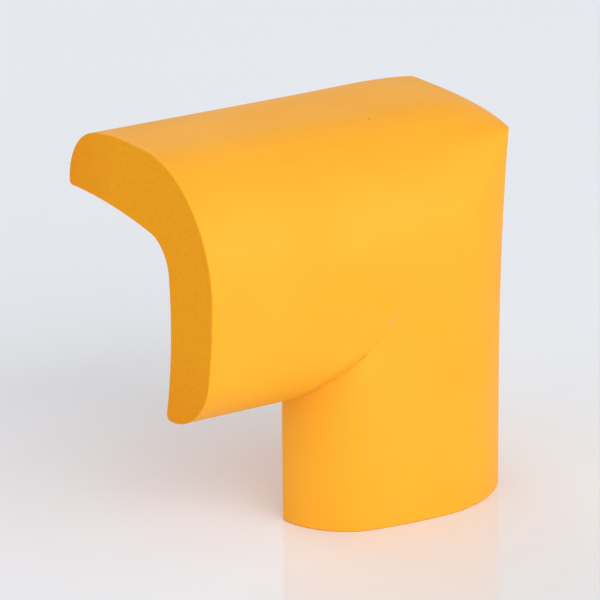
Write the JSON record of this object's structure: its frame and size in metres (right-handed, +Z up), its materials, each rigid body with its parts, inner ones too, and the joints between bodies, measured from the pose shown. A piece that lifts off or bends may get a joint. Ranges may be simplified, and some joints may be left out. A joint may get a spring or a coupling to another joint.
{
  "type": "furniture corner guard",
  "caption": "Soft foam corner guard of thick rounded L-section, mitred and folded through a right angle to cover the corner of a table or shelf.",
  "frame": {"origin": "centre of the bounding box on the surface that the leg's cut end stands on", "axes": "+Z up along the leg, -X along the arm, -Y out of the front flange, +Y back over the furniture"},
  "size_m": [0.0598, 0.0414, 0.0599],
  "materials": {
    "foam": "satin skin on closed-cell foam, fine open cells on the cut ends"
  },
  "bodies": {
    "root": {"corner_guard": "foam"}
  },
  "joints": []
}
